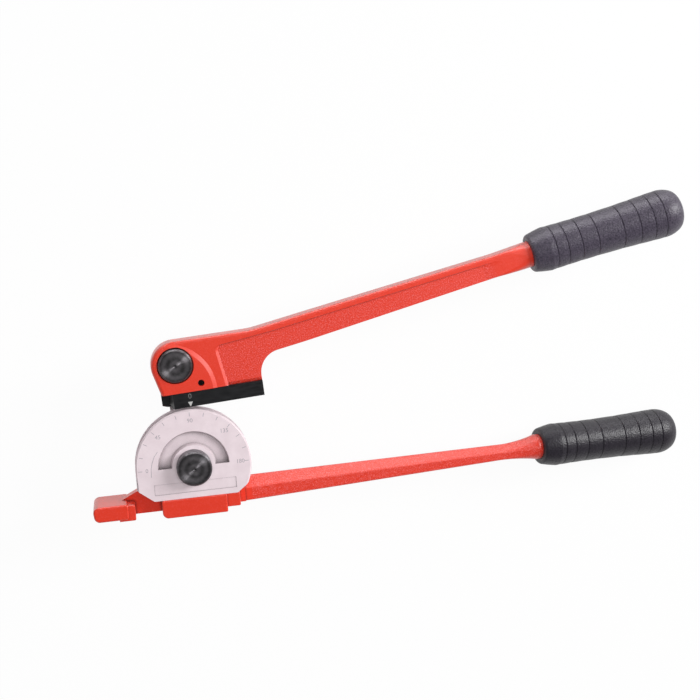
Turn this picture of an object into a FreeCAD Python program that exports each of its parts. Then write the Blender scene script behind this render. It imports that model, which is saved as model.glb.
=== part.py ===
import FreeCAD, Part
import Sketcher
import math
import os
import re

# Two-handle pipe bender for 10 mm pipe, bend radius 44.3 mm at the pipe's centre line.
# The frame lies in the plane of the bend: the origin is on the main pivot's axis, in the middle
# of the pipe groove. X runs along the straight pipe, Y across it and Z up, out of the scale face,
# so that the tool lies on its back. Millimetres and degrees. The head and the shoe have a frame of
# their own at the head pivot: u along the shoe, v up from it.

Vector = FreeCAD.Vector

SIZES = (
    ("pipe_r", 5.0, "outer radius of the pipe that is bent"),
    ("groove_gap", 0.1, "clearance of every groove round the pipe"),
    ("bend_r", 44.3, "bend radius at the pipe's centre line"),
    ("flange_drop", 0.6, "former's flange below the pipe's centre line"),
    ("former_front", 6.8, "scale face above the groove's middle"),
    ("former_back", 6.2, "seat of the former below the groove's middle"),
    ("former_flat", 24.2, "flat bottom of the former below the pivot"),
    ("former_lead", 14.7, "straight run of the groove below the pivot"),
    ("former_corner", 12.2, "width of the cut lower corners"),
    ("rim_bevel", 1.1, "bevel round the scale face"),
    ("pocket_r", 27.0, "outer radius of the half-round pocket"),
    ("pocket_depth", 3.6, "depth of the pocket"),
    ("pocket_draft", 1.4, "how far the pocket's wall leans out"),
    ("hub_r", 16.2, "radius of the boss round the pivot"),
    ("panel_depth", 0.4, "depth of the plain panel under the pivot"),
    ("panel_reach", 31.0, "panel left and right of the pivot"),
    ("panel_high", 11.5, "top of the panel below the pivot"),
    ("panel_low", 19.8, "bottom of the panel below the pivot"),
    ("dowel_r", 2.5, "radius of the dowels behind the former"),
    ("dowel_reach", 19.0, "dowels left and right of the pivot"),
    ("dowel_drop", 16.5, "dowels below the pivot"),
    ("dowel_depth", 5.5, "depth of each dowel in both pieces"),
    ("fit_gap", 0.05, "radial clearance of fixed pins in their holes"),
    ("run_gap", 0.1, "end clearance of turning pieces"),
    ("shaft_r", 6.0, "radius of both pivot bolts"),
    ("shaft_gap", 0.05, "radial clearance of the bushes on the bolts"),
    ("knob_r", 13.2, "radius of the main bolt's turned head"),
    ("head_knob_r", 12.6, "radius of the upper bolt's turned head"),
    ("knob_height", 10.0, "height of the turned bolt heads"),
    ("knob_bevel", 1.2, "bevel of the turned bolt heads"),
    ("dimple_r", 1.2, "centre mark in the bolt heads"),
    ("dimple_depth", 0.8, "depth of the centre mark"),
    ("bush_wall", 2.0, "wall of the bronze bushes"),
    ("plate_thick", 8.3, "back plate behind the former"),
    ("boss_r", 20.0, "radius of the back plate round the pivot"),
    ("plate_half", 17.0, "half width of the plate's neck at the boss"),
    ("plate_left", 38.0, "left shoulder of the plate, from the pivot"),
    ("plate_shoulder", 15.0, "left shoulder of the plate, below the pivot"),
    ("beam_top", 19.0, "top of the thick beam below the pivot"),
    ("thrust_thick", 1.0, "thickness of the thrust washers"),
    ("thrust_r", 12.0, "radius of the thrust washers"),
    ("link_thick", 5.0, "thickness of the link plate"),
    ("link_r", 12.8, "radius of the link's ends"),
    ("link_waist", 9.5, "half width of the link between its ends"),
    ("link_angle", 95.2, "direction of the link as photographed"),
    ("washer_thick", 1.5, "thickness of the plain washers"),
    ("washer_r", 11.5, "radius of the plain washers"),
    ("spacer_r", 9.0, "radius of the spacer between head and link"),
    ("nut_flats", 18.0, "width of the lock nuts over their flats"),
    ("nut_thick", 7.0, "thickness of the lock nuts"),
    ("nut_collar", 1.2, "collar of the lock nuts"),
    ("nut_lip", 1.0, "wall of that collar"),
    ("nut_bevel", 0.4, "collar inside the nut's flats"),
    ("thread_out", 1.5, "bolt thread beyond the nuts"),
    ("head_over", 34.2, "head pivot from the pipe's centre line"),
    ("head_tilt", 3.5, "tilt of the head and shoe against the pipe"),
    ("head_back", 7.5, "back of the head below the groove's middle"),
    ("head_rim", 8.0, "front of the upper handle"),
    ("head_pad", 9.2, "front of the raised pad round the head pivot"),
    ("head_r", 18.0, "radius of the head round its pivot"),
    ("head_left", 13.3, "lower left corner of the head from its pivot"),
    ("pad_u", -10.3, "centre of the pad's curved edge, along the shoe"),
    ("pad_v", -20.9, "centre of the pad's curved edge, up from the pivot"),
    ("pad_r", 35.8, "radius of the pad's curved edge"),
    ("pad_slope", 3.0, "width of the slope along that edge"),
    ("web_depth", 1.2, "rough web below the handle's front"),
    ("web_slope", 2.2, "width of the slope at the web's left edge"),
    ("web_fade", 14.0, "width of the slope at the web's right end"),
    ("web_lip", 0.25, "width of the slope along the rim"),
    ("web_line", 3.5, "rim's lower edge above the handle's line"),
    ("web_crease", 75.0, "bend of the rim's lower edge, from the head pivot"),
    ("web_rise", 1.6, "rise of the rim's lower edge at the web's left end"),
    ("web_top", 33.7, "web's left edge at the rim, from the head pivot"),
    ("web_waist", 34.9, "bend of the web's left edge, along the shoe"),
    ("web_drop", 6.0, "bend of the web's left edge, below the pivot"),
    ("web_foot", 37.3, "web's left edge at the shoe, along the shoe"),
    ("sill_height", 2.3, "height of the sloping edge between web and shoe"),
    ("sill_drop", 1.6, "fall of that edge below the web"),
    ("seat_r", 13.7, "radius of the recess for the upper bolt head"),
    ("seat_floor", 0.5, "floor of that recess above the groove's middle"),
    ("shoe_seat", 21.2, "underside of the head below its pivot"),
    ("shoe_lift", 1.5, "underside of the shoe above the pipe's centre line"),
    ("shoe_end", 62.8, "right end of the shoe from the head pivot"),
    ("shoe_tail", 13.7, "left end of the shoe from the head pivot"),
    ("shoe_nose", 5.2, "front left corner of the shoe from the head pivot"),
    ("shoe_ledge", 8.0, "foot of the shoe's bevelled corner from the head pivot"),
    ("ledge_front", 2.0, "front of the thin tail of the shoe"),
    ("swing_gap", 0.7, "shoe's tail from the former's flange as it swings"),
    ("tongue_half", 3.5, "half thickness of the shoe's tongue"),
    ("tongue_left", 8.0, "left end of the tongue from the head pivot"),
    ("tongue_right", 26.0, "right end of the tongue from the head pivot"),
    ("tongue_height", 11.0, "height of the tongue in the head"),
    ("pin_r", 2.4, "radius of the spring pin"),
    ("pin_wall", 0.7, "wall of the spring pin"),
    ("pin_slit", 0.5, "slit of the spring pin"),
    ("pin_turn", -60.0, "direction of that slit"),
    ("pin_u", 17.1, "spring pin from the head pivot, along the shoe"),
    ("pin_v", 15.7, "spring pin below the head pivot"),
    ("pin_sunk", 3.4, "how far the spring pin lies below the faces"),
    ("handle_angle", 11.95, "direction of the upper handle"),
    ("handle_reach", 304.2, "head pivot to the upper grip's first groove"),
    ("bar_start", 100.0, "end of the head's casting, start of the bar"),
    ("bar_high", 8.7, "bar above the handle's line at its start"),
    ("bar_low", 11.9, "bar below the handle's line at its start"),
    ("bar_throat", 62.0, "corner under the bar, from the head pivot"),
    ("throat_r", 17.0, "curve under the bar"),
    ("bar_shoulder", 61.0, "bend of the top edge, from the head pivot"),
    ("shoulder_r", 60.0, "curve of the top edge"),
    ("flare_length", 49.2, "upper bar's flare before the grip's first groove"),
    ("flare_high", 8.3, "bar above the handle's line where the flare starts"),
    ("flare_low", 8.8, "bar below the handle's line where the flare starts"),
    ("web_stop", 58.2, "end of the rough web before the grip's first groove"),
    ("grip_rise", 1.3, "upward lean of the upper grip"),
    ("grip_yaw", -1.43, "direction of the lower grip"),
    ("grip_lean", -8.6, "backward lean of the lower grip"),
    ("grip_x", 302.1, "first groove of the lower grip, X"),
    ("grip_y", -26.5, "first groove of the lower grip, Y"),
    ("grip_z", -37.2, "first groove of the lower grip, Z"),
    ("collar_r", 10.2, "radius of the handles where they enter the grips"),
    ("collar_run", 3.0, "round length of the collar outside the grip"),
    ("tang_r", 7.0, "radius of the tangs inside the grips"),
    ("grip_length", 107.6, "grip's first groove to its end"),
    ("grip_r", 17.4, "radius of the grip behind its mouth"),
    ("grip_cap", 23.9, "solid end of the grip beyond the tang"),
    ("grip_rim", 18.3, "grip's mouth before its first groove"),
    ("grip_lip", 6.0, "depth of the collar in the grip"),
    ("grip_groove", 0.6, "depth and half width of the grip's grooves"),
    ("grip_crown", 0.12, "how far the grip bulges between two grooves"),
    ("hook_reach", 33.9, "left end of the hook from the pipe's centre line"),
    ("hook_gap", 7.2, "inner side of the hook from the pipe's centre line"),
    ("hook_top", 23.8, "top of the hook below the pivot"),
    ("hook_bottom", 35.6, "bottom of the hook below the pivot"),
    ("hook_lean", 1.2, "how far the hook's left side leans in"),
    ("hook_front", 8.0, "front of the hook and the lug"),
    ("cast_back", 25.0, "back of the thick casting"),
    ("beam_step", 0.5, "back of the beam in front of the lug's back"),
    ("lip_top", 25.0, "top of the pipe cup below the pivot"),
    ("lip_bottom", 37.0, "bottom of the pipe cup below the pivot"),
    ("lip_reach", 2.1, "open edge of the pipe cup from the pipe's centre line"),
    ("lip_step", 1.2, "front of the cup behind the hook's front"),
    ("lug_left", 26.4, "left end of the vice lug"),
    ("lug_right", 22.9, "right end of the vice lug"),
    ("lug_bottom", 38.3, "bottom of the vice lug"),
    ("step_right", 33.0, "right end of the step beside the lug"),
    ("step_bottom", 34.9, "bottom of the step"),
    ("step_front", 6.0, "front of the step"),
    ("bar_root", 34.0, "root of the lower bar"),
    ("bar_depth", 16.6, "middle of the lower bar's root below the groove's middle"),
    ("bar_drop", 3.4, "lower bar's middle below the grip's line at the flare"),
    ("ridge_root", 16.6, "top of the lower bar at its root, below the pivot"),
    ("ridge_end", 20.5, "top of the lower bar at the flare, below the pivot"),
    ("brow", 25.6, "widest line of the lower bar, below the pivot"),
    ("foot_root", 36.3, "bottom of the lower bar at its root, below the pivot"),
    ("foot_end", 32.6, "bottom of the lower bar at the flare, below the pivot"),
    ("half_root", 9.0, "half width of the lower bar at its root"),
    ("half_end", 8.0, "half width of the lower bar at the flare"),
    ("swell_run", 9.0, "first part of each flare, where the bar hardly swells"),
    ("swell_rise", 0.3, "swell of the bars at its end"),
    ("lower_flare", 52.1, "lower bar's flare before the grip's first groove"),
)

# Roundings of the castings' edges, and of the corners of their outlines.
BACK_EDGE = 1.5
FRONT_EDGE = 2.2
PAD_EDGE = 3.0
HOOK_EDGE = 1.4
LUG_EDGE = 1.0
STEP_EDGE = 0.8
SHARP = 0.0
SMALL = 1.2
MEDIUM = 2.0
LARGE = 4.5
SWEPT = 60.0

# Section of the bars: rounding and slant of the lower bar's ridge, and how nearly round the
# sections are where they meet the collars. HIDDEN is how far the casting runs into the bar's root.
RIDGE_EDGE = 2.4
RIDGE_SLANT = 0.8
ROUNDNESS = 0.96
HIDDEN = 4.0

# Degrees of the curved groove, from the straight lead on the left to below the right corner.
GROOVE_RUN = 225.0

# Profile of a grip: shares of its length or of its mouth's length, and shares of its radius.
GRIP_MOUTH = ((0.0, 0.736), (0.033, 0.816), (0.12, 0.868), (0.437, 0.943), (0.765, 1.0))
GRIP_GROOVES = ((0.0, 0.983), (0.085, 0.971), (0.191, 0.963), (0.316, 0.966),
                (0.512, 0.991), (0.638, 1.023), (0.747, 1.055), (0.833, 1.075))
GRIP_END = ((0.906, 1.043), (0.957, 0.914), (0.989, 0.701), (1.0, 0.402))

doc = FreeCAD.newDocument("pipe_bender")
sheet = doc.addObject("Spreadsheet::Sheet", "sizes")
for row, (alias, number, meaning) in enumerate(SIZES, 1):
    sheet.set(f"A{row}", meaning)
    sheet.set(f"B{row}", str(number))
    sheet.setAlias(f"B{row}", alias)
doc.recompute()


class Sizes:
    """Reads the sheet's cells by their aliases."""

    def __getattr__(self, alias):
        return float(getattr(sheet, alias))


size = Sizes()
ALIASES = {alias: "sizes." + alias for alias, number, meaning in SIZES}

# Places that several pieces share, as formulas of the sheet: the former's edge, the head pivot,
# the shoe's underside and the levels of the stack along the two pivots.
FLANGE = "(bend_r - flange_drop)"
LINK = "(bend_r + head_over)"
PAIR_X = f"{LINK} * cos(link_angle)"
PAIR_Y = f"{LINK} * sin(link_angle)"
SHOE_FOOT = "(shoe_lift - head_over)"
PLATE_BACK = "-(former_back + plate_thick)"
LINK_FRONT = f"{PLATE_BACK} - thrust_thick - run_gap"
LINK_BACK = f"{LINK_FRONT} - link_thick"
MAIN_WASHER = f"{LINK_BACK} - run_gap"
NUT_MAIN = f"{MAIN_WASHER} - washer_thick"
NUT_HEAD = f"{LINK_BACK} - washer_thick"
NUT_END = "nut_thick - nut_collar - thread_out"
KNOB_SEAT = "seat_floor + thrust_thick + run_gap"
BUSH = "shaft_r + shaft_gap + bush_wall"
BEVEL = "atan((shoe_ledge - shoe_nose) / (head_rim - ledge_front))"


def expression(text):
    """Puts the sheet's name before each alias in a short formula."""
    return re.sub("[a-z][a-z_]*", lambda word: ALIASES.get(word.group(), word.group()), text)


def bind(thing, **formulas):
    """Ties properties of a document object to formulas of the sheet."""
    for name, text in formulas.items():
        thing.setExpression(name.replace("__", "."), expression(text))


def place(thing, x="0", y="0", z="0"):
    """Ties the object's place to the sheet."""
    bind(thing, Placement__Base__x=x, Placement__Base__y=y, Placement__Base__z=z)


def turn(thing, axis, angle):
    """Ties the object's rotation to the sheet."""
    thing.Placement.Rotation.Axis = axis
    bind(thing, Placement__Rotation__Angle=angle)


def cylinder(name, radius, low, high, x="0", y="0"):
    piece = doc.addObject("Part::Cylinder", name)
    bind(piece, Radius=radius, Height=f"{high} - ( {low} )")
    place(piece, x, y, low)
    return piece


def cone(name, lower, upper, low, high, x="0", y="0"):
    piece = doc.addObject("Part::Cone", name)
    bind(piece, Radius1=lower, Radius2=upper, Height=f"{high} - ( {low} )")
    place(piece, x, y, low)
    return piece


def box(name, x0, x1, y0, y1, z0, z1):
    piece = doc.addObject("Part::Box", name)
    bind(piece, Length=f"{x1} - ( {x0} )", Width=f"{y1} - ( {y0} )", Height=f"{z1} - ( {z0} )")
    place(piece, x0, y0, z0)
    return piece


def fuse(name, pieces):
    joined_piece = doc.addObject("Part::MultiFuse", name)
    joined_piece.Shapes = pieces
    joined_piece.Refine = True
    return joined_piece


def cut(name, base, tools):
    result = doc.addObject("Part::Cut", name)
    result.Base = base
    result.Tool = tools[0] if len(tools) == 1 else fuse(name + "_tools", tools)
    result.Refine = True
    return result


def feature(name, shape):
    """An object whose shape is worked out here, for castings with lofts and soft edges."""
    piece = doc.addObject("Part::Feature", name)
    piece.Shape = shape
    return piece


def ring(name, inner, outer, low, high, x="0", y="0"):
    """A washer, bush or spacer: two circles of a sketch, padded."""
    body = doc.addObject("PartDesign::Body", name)
    sketch = body.newObject("Sketcher::SketchObject", name + "_circles")
    plane = next(item for item in body.Origin.OriginFeatures if item.Role == "XY_Plane")
    sketch.AttachmentSupport = (plane, [""])
    sketch.MapMode = "FlatFace"
    for index, (label, radius) in enumerate((("outer", outer), ("inner", inner))):
        start = size.washer_r - index
        sketch.addGeometry(Part.Circle(Vector(), Vector(0, 0, 1), start), False)
        sketch.addConstraint(Sketcher.Constraint("Coincident", index, 3, -1, 1))
        number = sketch.addConstraint(Sketcher.Constraint("Radius", index, start))
        sketch.renameConstraint(number, label)
        bind(sketch, **{f"Constraints__{label}": radius})
    pad = body.newObject("PartDesign::Pad", name + "_pad")
    pad.Profile = sketch
    bind(pad, Length=f"{high} - ( {low} )")
    body.Tip = pad
    place(body, x, y, low)
    return body


def bolt(name, radius, seat, end, x="0", y="0"):
    """A pivot bolt with a large turned head, seen from the front as a knob."""
    top = f"{seat} + knob_height"
    parts = [
        cylinder(name + "_shank", "shaft_r", end, seat, x, y),
        cylinder(name + "_head", radius, seat, f"{top} - knob_bevel", x, y),
        cone(name + "_bevel", radius, f"{radius} - knob_bevel", f"{top} - knob_bevel", top, x, y),
    ]
    dimple = cone(name + "_dimple", "0", "dimple_r", f"{top} - dimple_depth", top, x, y)
    return cut(name, fuse(name + "_turned", parts), [dimple])


def nut(name, high, x="0", y="0"):
    """A hexagon lock nut with a plain collar behind it."""
    seat = f"{high} - nut_thick"
    low = f"{seat} - nut_collar"
    prism = doc.addObject("Part::Prism", name + "_hexagon")
    prism.Polygon = 6
    bind(prism, Circumradius="nut_flats / sqrt(3)", Height="nut_thick")
    place(prism, x, y, seat)
    collar = cone(name + "_collar", "shaft_r + nut_lip", "nut_flats / 2 - nut_bevel", low, seat, x, y)
    hole = cylinder(name + "_hole", "shaft_r", low, high, x, y)
    return cut(name, fuse(name + "_body", [prism, collar]), [hole])


def bending_former():
    """The grooved half wheel with its flat foot, scale face, pocket and plain panel."""
    brow = "former_front - rim_bevel"
    disc = fuse("former_disc", [
        cylinder("former_core", FLANGE, "-former_back", brow),
        cone("former_rim", FLANGE, f"{FLANGE} - rim_bevel", brow, "former_front"),
        box("former_lead_block", f"-{FLANGE}", "0", "-former_flat", "0", "-former_back", brow),
        box("former_lead_face", f"rim_bevel - {FLANGE}", "0", "-former_flat", "0",
            brow, "former_front"),
    ])
    foot = box("former_foot_cut", f"-2 * {FLANGE}", f"2 * {FLANGE}", "-2 * bend_r", "-former_flat",
               "-2 * former_back", "2 * former_front")
    shaped = cut("former_outline", disc, [foot] + former_corners())
    groove = doc.addObject("Part::Torus", "former_groove")
    groove.Angle3 = GROOVE_RUN
    groove.Placement.Rotation = FreeCAD.Rotation(Vector(0, 0, 1), 180 - GROOVE_RUN)
    bind(groove, Radius1="bend_r", Radius2="pipe_r + groove_gap")
    lead = doc.addObject("Part::Cylinder", "former_lead_groove")
    bind(lead, Radius="pipe_r + groove_gap", Height="2 * bend_r")
    lead.Placement.Rotation = FreeCAD.Rotation(Vector(1, 0, 0), 90)
    place(lead, "-bend_r")
    grooved = cut("former_blank", shaped, [groove, lead])
    bore = cylinder("former_bore", "shaft_r + fit_gap", "-2 * former_back", "2 * former_front")
    holes = [cylinder(f"former_dowel_hole_{side}", "dowel_r + fit_gap", "-former_back",
                      "-former_back + dowel_depth", f"{sign}dowel_reach", "-dowel_drop")
             for side, sign in (("left", "-"), ("right", ""))]
    panel = box("former_panel", "-panel_reach", "panel_reach", "-panel_low", "-panel_high",
                "former_front - panel_depth", "2 * former_front")
    return cut("bending_former", grooved, [bore, former_pocket(), panel] + holes)


def former_corners():
    """Blocks that cut the two lower corners, each along the line from the lead to the flat."""
    right = doc.addObject("Part::Box", "former_corner_right")
    bind(right, Length="bend_r", Width="bend_r", Height="4 * former_front")
    turn(right, Vector(0, 0, 1), "180 deg + atan((former_flat - former_lead) / former_corner)")
    place(right, FLANGE, "-former_lead", "-2 * former_front")
    left = doc.addObject("Part::Mirroring", "former_corner_left")
    left.Source = right
    left.Normal = Vector(1, 0, 0)
    return [right, left]


def former_pocket():
    """Half-round pocket with a leaning wall, round the hub."""
    floor = "former_front - pocket_depth"
    bowl = cone("pocket_bowl", "pocket_r - pocket_draft", "pocket_r", floor, "former_front")
    hub = cone("pocket_hub", "hub_r + pocket_draft", "hub_r", floor, "former_front")
    moat = cut("pocket_moat", bowl, [hub])
    half = box("pocket_half", "-2 * pocket_r", "2 * pocket_r", "0", "2 * pocket_r",
               floor, "former_front")
    common = doc.addObject("Part::Common", "former_pocket")
    common.Base = moat
    common.Tool = half
    return common


def former_dowels():
    """Two dowels that stop the former from turning, as separate pins."""
    pins = [cylinder(f"dowel_{side}", "dowel_r", "-former_back - dowel_depth",
                     "-former_back + dowel_depth", f"{sign}dowel_reach", "-dowel_drop")
            for side, sign in (("left", "-"), ("right", ""))]
    return fuse("former_dowels", pins)


def link_plate():
    """Strap behind the casting that carries the upper handle round the former."""
    ends = [cylinder("link_end_main", "link_r", LINK_BACK, LINK_FRONT),
            cylinder("link_end_head", "link_r", LINK_BACK, LINK_FRONT, PAIR_X, PAIR_Y)]
    strap = doc.addObject("Part::Box", "link_strap")
    bind(strap, Length=LINK, Width="2 * link_waist", Height="link_thick")
    turn(strap, Vector(0, 0, 1), "link_angle")
    place(strap, "link_waist * sin(link_angle)", "-link_waist * cos(link_angle)", LINK_BACK)
    holes = [cylinder("link_hole_main", BUSH, LINK_BACK, LINK_FRONT),
             cylinder("link_hole_head", "shaft_r", LINK_BACK, LINK_FRONT, PAIR_X, PAIR_Y)]
    return cut("link_plate", fuse("link_blank", ends + [strap]), holes)


def slide_shoe():
    """Grooved shoe under the head, with a tongue that is pinned in the head's slot."""
    body = fuse("shoe_body", [
        box("shoe_block", "-shoe_tail", "shoe_end", SHOE_FOOT, "-shoe_seat",
            "-head_back", "head_rim"),
        box("shoe_tongue", "tongue_left", "tongue_right", "-shoe_seat",
            "tongue_height - shoe_seat", "-tongue_half", "tongue_half"),
    ])
    groove = cylinder("shoe_groove", "pipe_r + groove_gap", "-2 * shoe_end", "2 * shoe_end")
    groove.Placement.Rotation = FreeCAD.Rotation(Vector(0, 1, 0), 90)
    place(groove, "-2 * shoe_end", "-head_over")
    tail = box("shoe_tail_cut", "-2 * shoe_tail", "-shoe_ledge", "-2 * head_over", "0",
               "ledge_front", "2 * head_rim")
    bevel = box("shoe_bevel_cut", "0", "2 * shoe_tail", "-2 * head_over", "0",
                "0", "4 * head_rim")
    turn(bevel, Vector(0, 1, 0), BEVEL)
    place(bevel, f"-shoe_ledge - 2 * shoe_tail * cos({BEVEL})", "-2 * head_over",
          f"ledge_front + 2 * shoe_tail * sin({BEVEL})")
    corner_block = box("shoe_swing_block", "-2 * shoe_end", "0", "-2 * head_over", "0",
                       "-2 * head_back", "2 * head_rim")
    swing = cylinder("shoe_swing", "head_over + flange_drop - swing_gap", "-2 * head_back",
                     "2 * head_rim")
    hole = cylinder("shoe_pin_hole", "pin_r + fit_gap", "-head_back", "head_rim", "pin_u", "-pin_v")
    shoe = cut("slide_shoe", body, [groove, tail, bevel, hole,
                                    cut("shoe_swing_cut", corner_block, [swing])])
    turn(shoe, Vector(0, 0, 1), "head_tilt")
    place(shoe, PAIR_X, PAIR_Y)
    return shoe


def spring_pin():
    """Rolled pin with its slit, sunk below both faces of the head."""
    low = "pin_sunk - head_back"
    high = "head_pad - pin_sunk"
    solid = cylinder("pin_body", "pin_r", low, high)
    bore = cylinder("pin_bore", "pin_r - pin_wall", low, high)
    slit = box("pin_slit_cut", "0", "2 * pin_r", "-pin_slit / 2", "pin_slit / 2", low, high)
    pin = cut("shoe_spring_pin", solid, [bore, slit])
    turn(pin, Vector(0, 0, 1), "pin_turn")
    place(pin, f"{PAIR_X} + pin_u * cos(head_tilt) + pin_v * sin(head_tilt)",
          f"{PAIR_Y} + pin_u * sin(head_tilt) - pin_v * cos(head_tilt)")
    return pin


def outline(corners, level=0.0):
    """A closed wire through corners (x, y, radius), each rounded by its own radius."""
    ends = []
    edges = []
    count = len(corners)
    for index in range(count):
        x, y, radius = corners[index]
        here = Vector(x, y, level)
        before = Vector(*corners[index - 1][:2], level) - here
        after = Vector(*corners[(index + 1) % count][:2], level) - here
        if radius <= 0:
            ends.append((here, here))
            continue
        half = before.getAngle(after) / 2
        reach = radius / math.tan(half)
        first = here + before.normalize() * reach
        last = here + after.normalize() * reach
        middle = here + (before + after).normalize() * (radius / math.sin(half) - radius)
        edges.append(Part.Arc(first, middle, last).toShape())
        ends.append((first, last))
    for index in range(count):
        first = ends[index - 1][1]
        last = ends[index][0]
        if first.distanceToPoint(last) > 1e-6:
            edges.append(Part.makeLine(first, last))
    return Part.Wire(Part.__sortEdges__(edges))


def slab(corners, low, high):
    """A flat casting: a rounded outline between two levels."""
    return Part.Face(outline(corners, low)).extrude(Vector(0, 0, high - low))


def soften(solid, level, radius, keep=()):
    """Rounds the rim edges of a flat casting at one level, apart from those on kept lines."""
    rim = [edge for edge in solid.Edges
           if abs(edge.BoundBox.ZMin - level) + abs(edge.BoundBox.ZMax - level) < 1e-5
           and not any(on_line(edge.CenterOfMass, *line) for line in keep)]
    return solid.makeFillet(radius, rim)


def on_line(point, start, direction):
    """True for a point on the line, seen from the front."""
    away = point - start
    return abs(away.x * direction.y - away.y * direction.x) < 1e-4


def joined(shapes):
    return shapes[0].fuse(shapes[1:]).removeSplitter()


def rod(start, direction, radius, length):
    return Part.makeCylinder(radius, length, start, direction)


def compass(degrees):
    """Unit vector in the plane of the bend."""
    angle = math.radians(degrees)
    return Vector(math.cos(angle), math.sin(angle), 0)


def between(first, last, share):
    return first + (last - first) * share


def pair():
    """The head pivot's place in the photographed pose."""
    return compass(size.link_angle) * (size.bend_r + size.head_over)


def head_point(u, v):
    """A point of the tilted head, from the head pivot: u along the shoe, v up."""
    return pair() + compass(size.head_tilt) * u + compass(size.head_tilt + 90) * v


def bar_point(along, across):
    """A point of the upper handle, from the head pivot along the handle's line."""
    return pair() + compass(size.handle_angle) * along + compass(size.handle_angle + 90) * across


def corner(point, radius):
    return (point.x, point.y, radius)


def grip_axis(start, yaw, lean):
    """Point at the grip's first groove and the unit vector along the grip."""
    lean = math.radians(lean)
    return start, compass(yaw) * math.cos(lean) + Vector(0, 0, math.sin(lean))


def upper_axis():
    return grip_axis(bar_point(size.handle_reach, 0), size.handle_angle, size.grip_rise)


def lower_axis():
    start = Vector(size.grip_x, size.grip_y, size.grip_z)
    return grip_axis(start, size.grip_yaw, size.grip_lean)


def section(origin, along, across, corners):
    """A closed wire in the plane square to along; corners are (up, front, radius)."""
    front = along.cross(across)
    wire = outline(corners)
    wire.transformShape(FreeCAD.Matrix(across.x, front.x, along.x, origin.x,
                                       across.y, front.y, along.y, origin.y,
                                       across.z, front.z, along.z, origin.z,
                                       0, 0, 0, 1))
    return wire


def round_section(radius, sides, first):
    """Corners of an even polygon whose rounded outline is nearly a circle."""
    reach = radius / math.cos(math.pi / sides)
    step = 360 / sides
    points = [compass(first - index * step) * reach for index in range(sides)]
    return [corner(point, ROUNDNESS * radius) for point in points]


def collar_and_tang(start, along):
    """The round end of a handle: collar into the grip's mouth, then the tang."""
    mouth = start - along * size.grip_rim
    collar = rod(mouth - along * size.collar_run, along, size.collar_r,
                 size.collar_run + size.grip_lip)
    tang = rod(mouth, along, size.tang_r, size.grip_rim + size.grip_length - size.grip_cap)
    return [collar, tang]


def flare_end(start, along):
    """Where a bar has become round, at the foot of its collar."""
    return start - along * (size.grip_rim + size.collar_run)


def head_corners():
    """Outline of the head and the root of the bar, with the curve under the bar."""
    seat = -size.shoe_seat
    left = size.head_left
    lean = math.atan2(-seat, left) + math.asin(size.head_r / math.hypot(left, seat))
    top_left = -left + (size.head_r - seat) / math.tan(lean)
    return [
        corner(head_point(-left, seat), SHARP),
        corner(head_point(size.shoe_end, seat), SHARP),
        corner(bar_point(size.bar_throat, -size.bar_low), size.throat_r),
        corner(bar_point(size.bar_start, -size.bar_low), SHARP),
        corner(bar_point(size.bar_start, size.bar_high), SHARP),
        corner(bar_point(size.bar_shoulder, size.bar_high), size.shoulder_r),
        corner(head_point(top_left, size.head_r), size.head_r),
    ]


def head_plate(low, front, radius):
    """The head's outline as a plate, its front edge soft but for the seat and the bar's root."""
    seat = (head_point(0, -size.shoe_seat), compass(size.head_tilt))
    root = (bar_point(size.bar_start, 0), compass(size.handle_angle + 90))
    return soften(slab(head_corners(), low, front), front, radius, (seat, root))


def head_pad():
    """Raised pad round the head pivot, with a curved sloping edge towards the bar."""
    pad = head_plate(0, size.head_pad, PAD_EDGE)
    middle = head_point(size.pad_u, size.pad_v)
    spread = size.pad_slope / (size.head_pad - size.head_rim) * size.head_pad
    return pad.common(Part.makeCone(size.pad_r + spread, size.pad_r, size.head_pad, middle))


def web_cut():
    """Cut that leaves the rough web below the rim, with a slope at its left edge."""
    wires = []
    for rise in (0.0, 2 * size.web_depth):
        share = rise / size.web_depth
        shift = share * size.web_slope
        top = size.web_line + share * size.web_lip
        stop = size.handle_reach - size.web_stop + share * size.web_fade
        waist = head_point(size.web_waist - shift, -size.web_drop)
        foot = head_point(size.web_foot - shift, -size.shoe_seat)
        wires.append(outline([
            corner(bar_point(size.web_top - shift, top + size.web_rise), LARGE),
            corner(bar_point(size.web_crease, top), SWEPT),
            corner(bar_point(stop, top), LARGE),
            corner(bar_point(stop, -2 * size.shoe_seat), SHARP),
            corner(foot + (foot - waist), SHARP),
            corner(waist, SWEPT),
        ], size.head_rim - size.web_depth + rise))
    return Part.makeLoft(wires, True, True)


def sill_cut():
    """Cut that slopes the web's lower edge down to the shoe."""
    level = size.head_rim - size.web_depth
    seat = -size.shoe_seat
    corners = [(seat - size.sill_height, level - 2 * size.sill_drop),
               (seat + size.sill_height, level),
               (seat + size.sill_height, size.head_rim),
               (seat - size.sill_height, size.head_rim)]
    points = [head_point(size.web_foot, v) + Vector(0, 0, z) for v, z in corners]
    side = Part.Face(Part.makePolygon(points + points[:1]))
    return side.extrude(compass(size.head_tilt) * size.shoe_end)


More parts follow.
